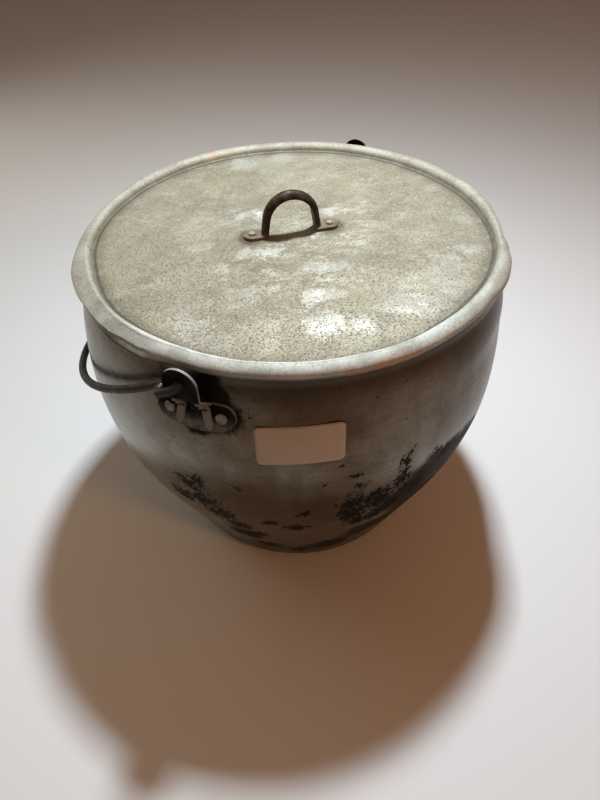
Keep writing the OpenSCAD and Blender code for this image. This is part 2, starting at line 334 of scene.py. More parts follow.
def finished(bm, name, finish, body, slot, *stands_for):
    """Puts a bmesh in the scene as a smooth piece that rides on a body."""
    mesh = bpy.data.meshes.new(name)
    bm.to_mesh(mesh)
    bm.free()
    for face in mesh.polygons:
        face.use_smooth = True
    piece = bpy.data.objects.new(name, mesh)
    bpy.context.scene.collection.objects.link(piece)
    mesh.materials.append(finish)
    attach(piece, body)
    if stands_for:
        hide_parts(*stands_for)
    print(name, len(mesh.polygons), "faces")


pot_bm = spun_sheet(pot_section)
print("pot sheet:", len(pot_bm.verts), "points")

# %% [markdown]
# ## The bend of rim and lid
# The rim has been knocked out of round together with the lid that sits on it. A lattice or a
# sculpt brush could do that, but both sheets have to move alike, so one table gives the bend of
# both by azimuth, and a smooth step runs from row to row. One long blow has laid the lid's bead
# over on the left: its round top is pressed down there to a slope that starts at a ridge.

# %% The table of the bend
RIM_SHAPE = [
    # azimuth in degrees; bent out at the lid's edge, at its inner corner, and up, in millimetres;
    # how far the bead is laid over; where its ridge lies between corner and edge; how far the
    # skirt flares, in millimetres
    (-180, 1.0, 0.3, 0.8, 0.1, 0.4, 0), (-145, 0.5, 0, 0.6, 0.1, 0.4, 0),
    (-125, 0, 0, 0.3, 0, 0.4, 0), (-105, -1.0, -0.5, -0.4, 0, 0.4, 0),
    (-88, -2.2, -0.8, -1.0, 0.1, 0.4, 0), (-75, -2.6, -1.0, -1.2, 0.25, 0.4, 0),
    (-62, -1.6, -1.6, -1.0, 0.55, 0.36, 0), (-50, 0.2, -2.6, -0.8, 0.95, 0.33, 0),
    (-42, 0.3, -2.0, -0.7, 1, 0.3, 0), (-34, -0.6, -0.5, -0.5, 1, 0.3, 0),
    (-26, 0.5, 0.5, -0.3, 1, 0.4, 0.8), (-18, 0, 0.9, -0.2, 0.95, 0.56, 2.4),
    (-12, 0.3, 1.2, -0.2, 0.8, 0.56, 2.8), (-5, 0.5, 1.6, -0.4, 0.6, 0.5, 0.3),
    (4, 0.7, 2.2, -1.0, 0.55, 0.46, 0), (12, 0.8, 2.8, -1.5, 0.5, 0.44, 0),
    (45, 0.8, 2.8, -1.6, 0.5, 0.44, 0), (62, 0.4, 1.7, -0.8, 0.45, 0.4, 0),
    (74, 0.3, 1.6, 0, 0.35, 0.4, 0), (79, 0.9, 1.7, 0, 0.3, 0.4, 0),
    (85, 1.6, 1.8, 0, 0.2, 0.4, 0), (92, 1.1, 1.9, 0, 0.1, 0.4, 0),
    (98, -0.5, 2.1, 0, 0.25, 0.4, 0), (105, -2.8, 1.8, 0, 0.35, 0.4, 0),
    (114, -1.8, 1.1, 0, 0.2, 0.4, 0), (122, -0.4, 0.7, 0.2, 0.1, 0.4, 0),
    (134, 0.9, 0.5, 0.3, 0.1, 0.4, 0), (143, 0.2, 0, 0.3, 0.1, 0.4, 0),
    (149, 2.5, -0.4, 0.6, 0.2, 0.4, 0), (158, 1.6, -0.2, 0.6, 0.15, 0.4, 0),
    (165, 0.8, 0, 0.7, 0.1, 0.4, 0), (180, 1.0, 0.3, 0.8, 0.1, 0.4, 0)]
RIDGE_DROP = 0.8 * MM  # how far under the bead's top the slope starts
EDGE_RISE = 0.4 * MM  # how far over the bead's middle it ends


def fade(value, low, high):
    """Smooth step in Python."""
    t = min(max((value - low) / (high - low), 0.0), 1.0)
    return t * t * (3 - 2 * t)


def bell(distance, reach):
    """1 at the middle of a dent, 0 at its reach."""
    return fade(reach - distance, 0.0, reach)


def rim_bend(point):
    """The bend at a point's azimuth: out, inner, up, laid, ridge and flare, lengths in metres."""
    azimuth = math.degrees(math.atan2(point.y, point.x))
    for before, after in zip(RIM_SHAPE, RIM_SHAPE[1:]):
        if before[0] <= azimuth <= after[0]:
            t = fade(azimuth, before[0], after[0])
            out, inner, up, laid, ridge, flare = (
                x + (y - x) * t for x, y in zip(before[1:], after[1:]))
    return out * MM, inner * MM, up * MM, laid, ridge, flare * MM


def sag(radius, laid, ridge):
    """How far the bead's round top is pressed down at a radius, to a slope from its ridge out."""
    share = (radius - corner[0]) / bead_w
    if not ridge < share <= 1:
        return 0.0
    peak, edge = lid_top - RIDGE_DROP, bead_z + EDGE_RISE
    slope = peak + (edge - peak) * (share - ridge) / (1 - ridge)
    round_top = bead_z + math.sqrt(max(bead_r ** 2 - (radius - lip_r) ** 2, 0.0))
    return laid * max(round_top - slope, 0.0)


print("bend of rim and lid:", len(RIM_SHAPE), "rows")

# %% [markdown]
# The belly of an old pot is never quite round. A very low wave of noise, some tenths of a
# millimetre, is added along each point's own direction from the axis. It fades out at the ears,
# where plates are riveted flat to the wall, and at the base. On one side the neck has been pushed
# out by nearly two millimetres. The rim follows the table above.

# %% Make the pot uneven
WAVE = 0.45 * MM
WAVE_LUMPS, RIPPLE_LUMPS = 14, 31  # per metre
RIPPLE_SHARE = 0.5  # of the finer noise
EAR_FREE = (0.2, 0.35)  # share of the radius off the ears' axis where the wave fades in
OVER_BASE, UNDER_NECK = (0.02, 0.06), 0.03  # heights, and a length, over which it fades out again
OUTER = (0.1, 0.11)  # radii between which the bend of rim and neck fades in
RIM_REACH, RIM_PLAY = 0.012, 0.4 * MM  # how far under the neck the bend starts, play in the lid
NECK_SIDE, NECK_SPAN, NECK_OUT = 86.0, 42.0, 1.9 * MM  # azimuth and half width in degrees
NECK_FOOT, NECK_TOP = (0.185, 0.205), (0.2245, 0.2195)  # heights between which the push fades

for vert in pot_bm.verts:
    across = Vector((vert.co.x, vert.co.y, 0))
    if across.length < base_x:
        continue
    ear_free = fade(abs(vert.co.y) / across.length, *EAR_FREE)
    level = fade(vert.co.z, *OVER_BASE) * fade(vert.co.z, neck_z, neck_z - UNDER_NECK)
    wave = (noise.noise(vert.co * WAVE_LUMPS)
            + RIPPLE_SHARE * noise.noise(vert.co * RIPPLE_LUMPS))
    out, _, up, laid, ridge, _ = rim_bend(vert.co)
    outer = fade(across.length, *OUTER)
    at_rim = fade(vert.co.z, neck_z - RIM_REACH, pot_h) * outer
    push = WAVE * wave * ear_free * level + min(out + RIM_PLAY, 0.0) * at_rim
    aside = abs(math.degrees(math.atan2(vert.co.y, vert.co.x)) - NECK_SIDE)
    push += (NECK_OUT * bell(aside, NECK_SPAN) * fade(vert.co.z, *NECK_FOOT)
             * fade(vert.co.z, *NECK_TOP) * outer)
    vert.co.z += (min(up, 0.0) - sag(rim_r, laid, ridge)) * at_rim
    vert.co += across.normalized() * push
print("pot is now", round(max(v.co.z for v in pot_bm.verts), 4), "high at its highest")

# %% [markdown]
# ## Finish of the pot
# Fire has left soot on the pot: black patches low on the belly, thinner soot that is half rubbed
# off again, smooth smoked places, and a smear round each ear. It could be painted on an image.
# Here it is a list of places on the wall, each with a reach, because places can be read, moved and
# seen from all sides. A seeded generator strews the same kinds round the side that faces away.

# %% Where the soot is
SOOT_PATCHES = [  # azimuth in degrees, height and reach in millimetres
    (35.5, 126, 19), (36, 112, 20), (32.9, 114, 7), (42.2, 120, 23), (41, 129, 13),
    (38.5, 96, 16), (43.4, 98, 19), (46.5, 109, 17), (52.7, 119, 22), (48.2, 134, 13),
    (48.4, 143, 9), (48.7, 151, 7), (49, 157, 5.5), (49.6, 162, 4.5), (37.5, 142, 8),
    (35.3, 155, 6.5), (32.8, 163, 4), (59, 144, 8), (62.6, 138, 10), (8.4, 145, 7),
    (23, 122, 10), (21.6, 97, 14), (27.8, 152, 3.5)]
THIN_SOOT = [  # half rubbed off again
    (-2.5, 143, 12), (-6, 137, 14), (-2.7, 121, 20), (1, 108, 20), (4.4, 90, 20),
    (9, 73, 17), (-9, 118, 18), (13.9, 105, 10), (21.6, 30, 18), (10, 42, 20)]
SMOKED = [  # smooth brown-black places between the patches
    (49.4, 107, 28), (53, 115, 28), (56.5, 122, 28), (60.7, 126, 30), (65, 127, 32),
    (72, 118, 44), (60, 90, 46), (46, 60, 38), (56, 62, 40), (34, 38, 30), (4, 66, 22)]
EAR_GRIME = [  # beside each ear, azimuth counted from it
    (-6.1, 197.5, 18), (6.1, 197.5, 19), (0, 192, 16), (4.6, 208, 14), (2.5, 214, 14),
    (-3.5, 212, 13)]
EARS = (0, 180)  # azimuths
print(len(SOOT_PATCHES), "patches and", len(THIN_SOOT), "thin places on the side that shows")

# %% Soot on the side that faces away
CLUSTERS = [(98, 96), (131, 112), (166, 88), (203, 104), (238, 84), (276, 108), (318, 92)]
BANDS = [(108, 92), (196, 84), (288, 96)]  # azimuth and height at which a smoked band starts
PER_CLUSTER, PER_BAND = 3, 6
BAND_TURN, BAND_RISE = 6, 4  # degrees and millimetres from place to place

draw = random.Random(11)
for turn, low in CLUSTERS:
    for _ in range(PER_CLUSTER):
        SOOT_PATCHES.append((turn + draw.uniform(-10, 10), low + draw.uniform(-24, 34),
                             draw.uniform(7, 20)))
        THIN_SOOT.append((turn + draw.uniform(-20, 20), low + draw.uniform(-50, 30),
                          draw.uniform(10, 24)))
for turn, low in BANDS:
    for i in range(PER_BAND):
        SMOKED.append((turn + BAND_TURN * i, low + BAND_RISE * i + draw.uniform(-9, 9),
                       draw.uniform(18, 30)))


def wall_spots(places, turns=(0,)):
    """Spots on the wall from azimuths, heights and reaches."""
    return [(on_wall(a + turn, z * MM), reach * MM) for a, z, reach in places for turn in turns]


print(len(SOOT_PATCHES), "soot patches,", len(SMOKED), "smoked places")

# %% [markdown]
# Spun aluminium keeps fine rings from the tool, and old spills have run down it. These are noises
# stretched along or across the axis. Two finer noises eat into the patches of soot, so no patch
# has a clean outline: a patch only raises the noise over the level at which it counts as black.

# %% Soot and smoke
pot_finish, tree, shader, place = new_finish("spun_aluminium")
rings = cloud(tree, stretch(tree, place, (6, 6, 900)), 1.0, 3)
runs = cloud(tree, stretch(tree, place, (110, 110, 12)), 1.0, 4)
mottle = cloud(tree, place, 24, 6, 0.62)
fine = cloud(tree, stretch(tree, place, (480, 480, 330)), 1.0, 4, 0.68)
flakes = cloud(tree, stretch(tree, place, (80, 80, 55)), 1.0, 5, 0.6)
height = height_of(tree, place)
torn = shifted(tree, place, 90, 0.022)
broken = plus(tree, times(tree, flakes, 0.6), times(tree, fine, 2.4))
patches = near(tree, torn, wall_spots(SOOT_PATCHES))
thin = near(tree, torn, wall_spots(THIN_SOOT))
thick_soot = step(tree, plus(tree, times(tree, patches, 0.8), broken), 1.86, 2.06)
thin_soot = step(tree, plus(tree, times(tree, thin, 0.8), broken), 1.8, 2.15, 0.0, 0.95)
soot = most(tree, thick_soot, thin_soot)
smoked = near(tree, torn, wall_spots(SMOKED))
smoke = step(tree, plus(tree, smoked, times(tree, mottle, 0.5)), 0.4, 0.95)
by_ears = near(tree, shifted(tree, place, 120, 0.012), wall_spots(EAR_GRIME, EARS))
grime = step(tree, plus(tree, by_ears, times(tree, fine, 0.5)), 0.45, 0.85)
low_band = step(tree, height, 0.11, 0.0)
all_patches = most(tree, patches, times(tree, thin, 0.8))
film = times(tree, plus(tree, low_band, times(tree, all_patches, 0.7)),
             step(tree, plus(tree, mottle, times(tree, runs, 0.4)), 0.45, 0.85))
print("soot and smoke:", len(tree.nodes), "nodes")

# %% [markdown]
# The bare metal isn't one grey. It is mottled, darker in its runs and rings and streaked at the far
# right. Painted light lies on it too: a brown on one side for the shaded floor that it mirrors, a
# lighter grey where light falls on the left, and painted shade under the lid's edge. Each of
# these is one more thin colour over the last, with a mask from noise, height or direction.

# %% Metal under the soot
DULL_METAL, CLEAN_METAL = (0.115, 0.097, 0.073), (0.24, 0.215, 0.172)
RUN_STAIN, RING_SHADE = (0.085, 0.07, 0.052), (0.10, 0.085, 0.065)
FINE_SHADE, BROWNED = (0.075, 0.062, 0.045), (0.125, 0.092, 0.062)
# Painted light: the first colour below is a brown that paints the shaded floor mirrored on one
# side, the second a lighter grey that paints light falling on the left.
BROWN_REFLECTION, LIT_GREY_METAL = (0.085, 0.043, 0.016), (0.27, 0.262, 0.225)
# The last colour below is painted shade under the lid's edge.
STREAKS, FILM, UNDER_LID_SHADE = (0.05, 0.042, 0.034), (0.06, 0.05, 0.038), (0.045, 0.033, 0.022)
REFLECTION_SIDE, LIT_GREY_SIDE, DARK_SIDE = 58, -50, 85  # azimuths

metal = tint(tree, step(tree, mottle, 0.34, 0.66), DULL_METAL, CLEAN_METAL)
metal = tint(tree, step(tree, runs, 0.48, 0.75, 0, 0.5), metal, RUN_STAIN)
metal = tint(tree, step(tree, rings, 0.35, 0.65, 0, 0.2), metal, RING_SHADE)
metal = tint(tree, step(tree, fine, 0.5, 0.72, 0, 0.45), metal, FINE_SHADE)
drifts = cloud(tree, stretch(tree, place, (16, 16, 9)), 1.0, 5, 0.6)
browned = step(tree, plus(tree, drifts, times(tree, fine, 0.2)), 0.5, 0.75, 0.0, 0.7)
metal = tint(tree, browned, metal, BROWNED)
# Painted reflection: brown over the metal on one side, from mid-height up, for the shaded floor it
# mirrors.
brown_reflection = times(tree, step(tree, toward(tree, place, REFLECTION_SIDE), 0.0, 0.115),
             step(tree, height, 0.09, 0.18, 0.35, 1))
brown_reflection = times(tree, brown_reflection, step(tree, plus(tree, mottle, times(tree, runs, 0.3)),
                              0.4, 0.8, 0.75, 0.4))
metal = tint(tree, brown_reflection, metal, BROWN_REFLECTION)
# Painted light: a lighter grey towards the left, where light falls on that side.
grey = times(tree, step(tree, toward(tree, place, LIT_GREY_SIDE), 0.07, 0.125),
             step(tree, mottle, 0.3, 0.7, 0.35, 0.75))
metal = tint(tree, grey, metal, LIT_GREY_METAL)
streaks = times(tree, step(tree, runs, 0.35, 0.65, 0.15, 0.7), step(tree, height, 0.12, 0.17))
streaks = times(tree, step(tree, toward(tree, place, DARK_SIDE), 0.112, 0.134), streaks)
metal = tint(tree, streaks, metal, STREAKS)
metal = tint(tree, times(tree, film, 0.7), metal, FILM)
# Painted shade: darker high on the wall under the lid's edge, weaker on the lit left.
under_lid_shade = step(tree, plus(tree, height, times(tree, mottle, 0.012)), 0.208, 0.225)
under_lid_shade = times(tree, under_lid_shade,
                   step(tree, toward(tree, place, LIT_GREY_SIDE), 0.07, 0.125, 0.8, 0.35))
metal = tint(tree, under_lid_shade, metal, UNDER_LID_SHADE)
print("metal under the soot:", len(tree.nodes), "nodes so far")

# %% Put the pot's finish on
SMOKE, SOOT = (0.014, 0.009, 0.006), (0.008, 0.006, 0.005)
POT_RELIEF = 0.00006  # metres

metal = tint(tree, times(tree, smoke, 0.95), metal, SMOKE)
black = most(tree, soot, times(tree, grime, 0.95))
dirt = most(tree, black, most(tree, times(tree, film, 0.6), times(tree, smoke, 0.78)))
wire_up(tree, shader, colour=tint(tree, black, metal, SOOT),
        metal=step(tree, dirt, 0.0, 0.9, 0.93, 0.0),
        rough=plus(tree, step(tree, rings, 0.3, 0.7, 0.25, 0.34), times(tree, dirt, 0.36)))
shader.inputs["Specular IOR Level"].default_value = 0.05
lumps = plus(tree, times(tree, fine, 0.4), times(tree, mottle, 2.4))
relief(tree, shader, plus(tree, times(tree, rings, 0.6), lumps), POT_RELIEF)
finished(pot_bm, "pot_sheet", pot_finish, "pot", "pot_aluminium", "pot_shell")

# %% [markdown]
# ## The lid
# The lid is a second sheet: a flat panel, pressed up into a half-round bead that sits over the rim,
# and a short skirt. The panel gets many rings, because it has to carry dents.

# %% The lid's half section
PANEL_RINGS, HOLLOW_STEPS, BEAD_STEPS, SKIRT_STEPS = 70, 6, 26, 4
BEAD_START = math.radians(176)  # just past the hollow's end, so that no point is doubled


def lid_face(depth):
    """The lid's sheet from the middle out to the skirt's edge, set down by a depth."""
    panel = [(corner[0] * i / PANEL_RINGS, panel_z - depth) for i in range(PANEL_RINGS)]
    hollow = arc(corner, panel_round + depth, -math.pi / 2, meet, HOLLOW_STEPS)
    bead = arc((lip_r, bead_z), bead_r - depth, BEAD_START + meet, 0, BEAD_STEPS)
    skirt = [(lid_r - depth, bead_z + (lid_edge_z - bead_z) * i / SKIRT_STEPS)
             for i in range(1, SKIRT_STEPS + 1)]
    return panel + hollow + bead + skirt


lid_section = lid_face(0) + lid_face(lid_t)[::-1]
lid_bm = spun_sheet(lid_section)
print("lid section:", len(lid_section), "points")

# %% [markdown]
# Dents are moved into the sheet point by point: each dent is a place, a reach and a depth, and the
# sheet sinks or rises by a smooth bell. Top and underside move together, so the sheet keeps its
# thickness. Waves of noise stand for the many small knocks, and sharp folds run through the
# crumpled middle. The panel round the handle's feet stays flat, because the feet are riveted tight
# to it. The bead takes the same bend as the pot's rim, with a few kinks of its own.

# %% Where the lid is dented
PANEL_DENTS = [  # x, y, reach and depth in millimetres; a negative depth rises
    (62, 40, 26, 0.4), (85, 20, 20, -0.5), (40, 70, 24, 0.8), (88, 58, 18, 0.9),
    (20, 92, 22, -0.7), (60, -20, 24, 0.7), (30, -60, 28, -0.5), (-40, 60, 30, 0.7),
    (-60, -20, 34, 0.6), (-20, -80, 28, -0.6), (-80, 40, 22, 0.6), (-30, 100, 20, 0.8),
    (100, -10, 18, 0.6), (104, 34, 12, 0.8), (72, 72, 14, -0.8)]
KNOCKS = [  # small sharp knocks from below; the slope that looks forward catches the light
    (44, 3, 9, 1.6), (30, -8, 11, 0.9), (7, 7, 11, 0.9), (-7, 26, 10, 0.8), (8, 39, 6, 0.9),
    (-42, 17, 12, 0.8), (-17, -35, 11, 0.8), (67, -26, 9, 0.7), (22, 20, 9, 0.8),
    (36, 40, 10, 0.6), (20, 56, 12, 0.7), (-24, 73, 12, 0.6), (2, -22, 10, 0.7)]
KINKS = [  # azimuth in degrees, radius, reach and rise in millimetres, on the bead
    (-31, 129, 6, -1.0), (-26, 127.5, 5, 0.8), (-22, 129.5, 6, -0.9), (-50, 124.5, 3.5, -0.7),
    (-57, 128, 6, 0.6), (-40, 128, 6, -0.5), (-13, 129, 5, -0.9), (-7, 129.5, 5, 0.5),
    (82, 129.5, 7, -0.9), (75, 129, 6, 0.5), (27, 127, 3.5, -0.6), (9, 128, 4, -0.6),
    (36, 129, 5, -0.4), (-75, 126, 6, -0.5)]
# a wave's height in millimetres, its lumps per metre and its shift, and the same for the folds
WAVES = [(0.5, 30, (0, 0, 0)), (0.4, 62, (3, 1, 0)), (0.22, 130, (0, 0, 0))]
FOLD_DEPTH, FOLD_LUMPS, FOLD_SHIFT = 1.5, 36, (7, 2, 0)
FOLD_FADE = (0.11, 0.03)  # radii between which the folds fade in towards the middle
feet = [Vector(sum(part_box(n), Vector()) / 2) for n in ("lid_rivet_a", "lid_rivet_b")]


def panel_sink(flat):
    """How far the panel lies lower than flat at a place, in millimetres."""
    sink = 0.0
    for wave_height, lumps, shift in WAVES:
        sink += wave_height * noise.noise(flat * lumps + Vector(shift))
    fold = abs(noise.noise(flat * FOLD_LUMPS + Vector(FOLD_SHIFT)))
    sink += fade(flat.length, *FOLD_FADE) * FOLD_DEPTH * fold
    for x, y, reach, depth in PANEL_DENTS:
        sink += depth * bell((flat - Vector((x, y, 0)) * MM).length, reach * MM)
    for x, y, reach, rise in KNOCKS:
        sink -= rise * bell((flat - Vector((x, y, 0)) * MM).length, reach * MM)
    return sink


print(len(PANEL_DENTS), "dents,", len(KNOCKS), "knocks and", len(KINKS), "kinks")

# %% Dent the lid
from_corner = lid_bm.verts.layers.float.new("from_corner")  # metres out from the panel's corner
PANEL_EDGE = (-0.001, 0.005)  # in from the corner, where the dents fade out
FOOT_FLAT = (0.007, 0.018)  # distances from a rivet's axis between which the dents fade in
UP_REACH, INNER_REACH = 0.03, 0.025  # how far in from the corner the panel follows the bend
LAID_RIPPLE, LAID_LUMPS = 0.4 * MM, 75  # height, and lumps per metre
BEAD_RIPPLE, BEAD_LUMPS = 0.35 * MM, 40
FLARED = 1 * MM  # from this flare on, the skirt's edge isn't curled in
# shares of the way across the bead, between which each effect fades in
LAID_AT, SKIRT_AT, KINK_AT, RIPPLE_AT = (0.4, 0.6), (0.5, 0.8), (0.05, 0.3), (0.0, 0.5)

for vert in lid_bm.verts:
    flat = Vector((vert.co.x, vert.co.y, 0))
    radius = flat.length
    vert[from_corner] = radius - corner[0]
    on_panel = fade(corner[0] - radius, *PANEL_EDGE)
    tight = min(fade((flat - Vector((f.x, f.y, 0))).length, *FOOT_FLAT) for f in feet)
    vert.co.z -= panel_sink(flat) * MM * on_panel * tight
    out, inner, up, laid, ridge, flare = rim_bend(vert.co)
    share = (radius - corner[0]) / bead_w
    vert.co.z -= (sag(radius, laid, ridge)
                  - LAID_RIPPLE * laid * noise.noise(flat * LAID_LUMPS) * fade(share, *LAID_AT))
    below = max(bead_z - vert.co.z, 0.0) * fade(share, *SKIRT_AT)
    curl = bead_r - math.sqrt(bead_r ** 2 - min(below, bead_r) ** 2)
    out += (flare * min(below / (bead_z - lid_edge_z), 1.0) - curl * fade(flare, FLARED, 0.0))
    for azimuth, kink_r, reach, rise in KINKS:
        a = math.radians(azimuth)
        kink = Vector((kink_r * math.cos(a), kink_r * math.sin(a), 0)) * MM
        vert.co.z += rise * MM * bell((flat - kink).length, reach * MM) * fade(share, *KINK_AT)
    vert.co.z += up * fade(radius, corner[0] - UP_REACH, corner[0])
    small = BEAD_RIPPLE * noise.noise(flat * BEAD_LUMPS) * fade(share, *RIPPLE_AT)
    bend = (inner * fade(radius, corner[0] - INNER_REACH, corner[0]) if share < 0
            else inner + (out - inner) * min(share, 1.0))
    if radius > 0:
        vert.co += flat.normalized() * (bend + small)
print("lid is now", round(max(v.co.z for v in lid_bm.verts), 4), "high at its highest")

# %% [markdown]
# ## Finish of the lid
# The top is dull and beige where it has weathered, with fine grain, and bright where hands and
# other pots have rubbed it. The crumpled middle has soft folds with pale painted highlights along
# them. The handle's feet have stained the panel. All of these are masks first, made from places and
# noise, so that colour, roughness and relief can use the same ones.

# %% Masks of the lid
RUBBED = [  # x, y and reach in millimetres
    (0, 95, 22), (31, 102, 13), (51, 88, 22), (-14, 109, 12), (105, -14, 20),
    (80, 49, 24), (60, 37, 15), (74, 70, 15), (-82, -69, 20), (-99, -45, 18)]
CRUMPLED = [
    (44, 4, 34), (28, -4, 30), (10, 14, 36), (-6, 30, 34), (40, 36, 36), (-36, 20, 26),
    (-14, -32, 26)]
STAIN_REACH = 0.016  # metres round each rivet
FOLD_TURN, FOLD_SIZE = math.radians(127), (0.020, 0.015, 0.02)


def lid_spots(places):
    """Spots on the panel from places in millimetres."""
    return [((x * MM, y * MM, panel_z), reach * MM) for x, y, reach in places]


lid_finish, tree, shader, place = new_finish("weathered_aluminium")
mottle = cloud(tree, place, 30, 7, 0.62)
grain = cloud(tree, place, 620, 4, 0.75)
pits = step(tree, cloud(tree, place, 1000, 2), 0.57, 0.67)
torn = shifted(tree, place, 60, 0.02)
speckle = plus(tree, times(tree, cloud(tree, place, 90, 6, 0.7), 0.5), times(tree, grain, 0.6))
blotch = plus(tree, times(tree, near(tree, torn, lid_spots(RUBBED)), 0.4), speckle)
rubbed = step(tree, blotch, 0.68, 0.92)
stain_spots = [((f.x, f.y, panel_z), STAIN_REACH) for f in feet]
stain = step(tree, plus(tree, near(tree, shifted(tree, place, 160, 0.006), stain_spots),
                        times(tree, grain, 1.2)), 0.8, 1.2)
along = put(tree, "Mapping", {"Vector": place, "Rotation": (0, 0, FOLD_TURN), "Scale": FOLD_SIZE},
            vector_type="TEXTURE").outputs["Vector"]
folds = unsigned(tree, less(tree, cloud(tree, along, 1.0, 2.0, 0.45), 0.5))
crumpled = near(tree, torn, lid_spots(CRUMPLED))
# Painted highlights: pale blotches along the folds.
highlight_blotches = step(tree, plus(tree, cloud(tree, along, 1.2, 4, 0.62), times(tree, grain, 0.25)),
              0.6, 0.8)
print("masks of the lid:", len(tree.nodes), "nodes")

# %% Colours of the panel
PATINA_DARK, PATINA_LIGHT = (0.215, 0.183, 0.123), (0.315, 0.28, 0.196)
PATINA_DEEP, PATINA_PALE = (0.20, 0.172, 0.115), (0.40, 0.385, 0.31)
GRAIN_LIGHT, GRAIN_DARK, EDGE_DARK = (0.41, 0.385, 0.295), (0.12, 0.10, 0.066), (0.14, 0.12, 0.08)
# The first colour below is painted highlight along the folds.
FOLD_HIGHLIGHT, RUB = (0.56, 0.545, 0.49), (0.52, 0.51, 0.46)

past_corner = put(tree, "Attribute", attribute_name="from_corner").outputs["Fac"]
on_bead = step(tree, past_corner, 0.0005, 0.003)
on_panel = less(tree, 1.0, on_bead)
# Darker on the panel just inside its corner with the bead.
edge_darkening = times(tree, step(tree, past_corner, -0.009, -0.001), on_panel)
patina = tint(tree, step(tree, mottle, 0.32, 0.68), PATINA_DARK, PATINA_LIGHT)
deep = step(tree, cloud(tree, place, 11, 3), 0.35, 0.65, 0.0, 0.4)
patina = tint(tree, deep, patina, PATINA_DEEP)
drifts = cloud(tree, shifted(tree, place, 20, 0.05), 17, 4, 0.6)
patina = tint(tree, step(tree, drifts, 0.5, 0.72, 0.0, 0.5), patina, PATINA_PALE)
patina = tint(tree, step(tree, grain, 0.42, 0.66, 0.0, 0.5), patina, GRAIN_LIGHT)
patina = tint(tree, step(tree, grain, 0.48, 0.3, 0.0, 0.38), patina, GRAIN_DARK)
patina = tint(tree, times(tree, edge_darkening, 0.65), patina, EDGE_DARK)
# Painted highlight: pale over the folds, strongest where the panel is crumpled.
fold_highlight = times(tree, highlight_blotches, plus(tree, times(tree, crumpled, 0.6), 0.18))
patina = tint(tree, fold_highlight, patina, FOLD_HIGHLIGHT)
patina = tint(tree, times(tree, rubbed, 0.42), patina, RUB)
print("colours of the panel:", len(tree.nodes), "nodes so far")

# %% [markdown]
# The bead is pale at the front, a painted highlight. It is dark in the furrow at its foot and has
# painted shade towards its underside, and two places have a coppery tint, which at the front right
# also paints a warm highlight. It follows the mesh's own attribute `from_corner`, written before
# the sheet was bent, so the colours stay on the bead where it is knocked about.

# %% Colours of the bead
# At the front right these places paint a warm highlight; at the back left they are a coppery tint.
COPPERY_AND_HIGHLIT = [  # azimuth in degrees, radius, height and reach in millimetres, on the bead
    (34, 131, 225, 4), (37, 131, 225.2, 5), (40, 131, 225.4, 6), (43, 131, 225.8, 6),
    (46, 131, 226, 5), (49, 131, 226.3, 4), (-131, 125, 231, 6), (-138, 126, 231, 5)]
# The last colour below is painted shade on the bead's underside.
BEAD_DARK, BEAD_LIGHT, UNDER_BEAD_SHADE = (0.40, 0.41, 0.355), (0.72, 0.74, 0.69), (0.075, 0.058, 0.040)
PIT, FURROW = (0.08, 0.068, 0.048), (0.07, 0.06, 0.042)
# The second colour below is a coppery tint that also paints a warm highlight.
STAIN, COPPER_AND_HIGHLIGHT = (0.05, 0.036, 0.023), (0.50, 0.22, 0.09)
# The first azimuth below is where the bead's painted highlight lies.
HIGHLIGHT_SIDE, WORN_SIDE = 28, 15  # azimuths


def bead_spots(places):
    """Spots on the bead from azimuths, radii, heights and reaches."""
    return [((r * MM * math.cos(math.radians(a)), r * MM * math.sin(math.radians(a)), z * MM),
             reach * MM) for a, r, z, reach in places]


# Painted highlight: the bead is paler towards the front.
pale = times(tree, on_bead, step(tree, toward(tree, place, HIGHLIGHT_SIDE), 0.04, 0.12, 0.22, 0.85))
bead_tone = tint(tree, step(tree, plus(tree, mottle, times(tree, grain, 0.4)), 0.5, 0.9),
                 BEAD_DARK, BEAD_LIGHT)
patina = tint(tree, pale, patina, bead_tone)
level = height_of(tree, place)
# Painted shade: the bead darker towards its underside.
under = most(tree, step(tree, level, bead_z - 1.6 * MM, bead_z - 3.2 * MM, 0.0, 0.85),
             step(tree, level, bead_z + 1.5 * MM, bead_z - 2.5 * MM, 0.0, 0.42))
patina = tint(tree, times(tree, under, on_bead), patina, UNDER_BEAD_SHADE)
worn_front = times(tree, step(tree, toward(tree, place, WORN_SIDE), -0.03, 0.10, 0.25, 0.68),
                   step(tree, past_corner, 0.0, 0.003, 1.0, 0.4))
patina = tint(tree, times(tree, pits, worn_front), patina, PIT)
furrow = step(tree, unsigned(tree, plus(tree, past_corner, 0.0002)), 0.0016, 0.0003)
patina = tint(tree, times(tree, furrow, 0.8), patina, FURROW)
patina = tint(tree, times(tree, stain, 0.75), patina, STAIN)
# Coppery tint, and a painted warm highlight at the front right.
copper_and_highlight_spots = near(tree, shifted(tree, place, 180, 0.006), bead_spots(COPPERY_AND_HIGHLIT))
copper_and_highlight = times(tree, copper_and_highlight_spots, times(tree, on_bead, step(tree, grain, 0.3, 0.55, 0.3, 0.8)))
patina = tint(tree, copper_and_highlight, patina, COPPER_AND_HIGHLIGHT)
print("colours of the bead:", len(tree.nodes), "nodes so far")

# %% [markdown]
# A dull patina is hardly a mirror, so the lid is far less metallic than the pot, and a little
# smoother and more metallic where it is rubbed. The relief adds folds, mottling, grain and pits.

# %% Put the lid's finish on
LID_RELIEF = 0.00018  # metres

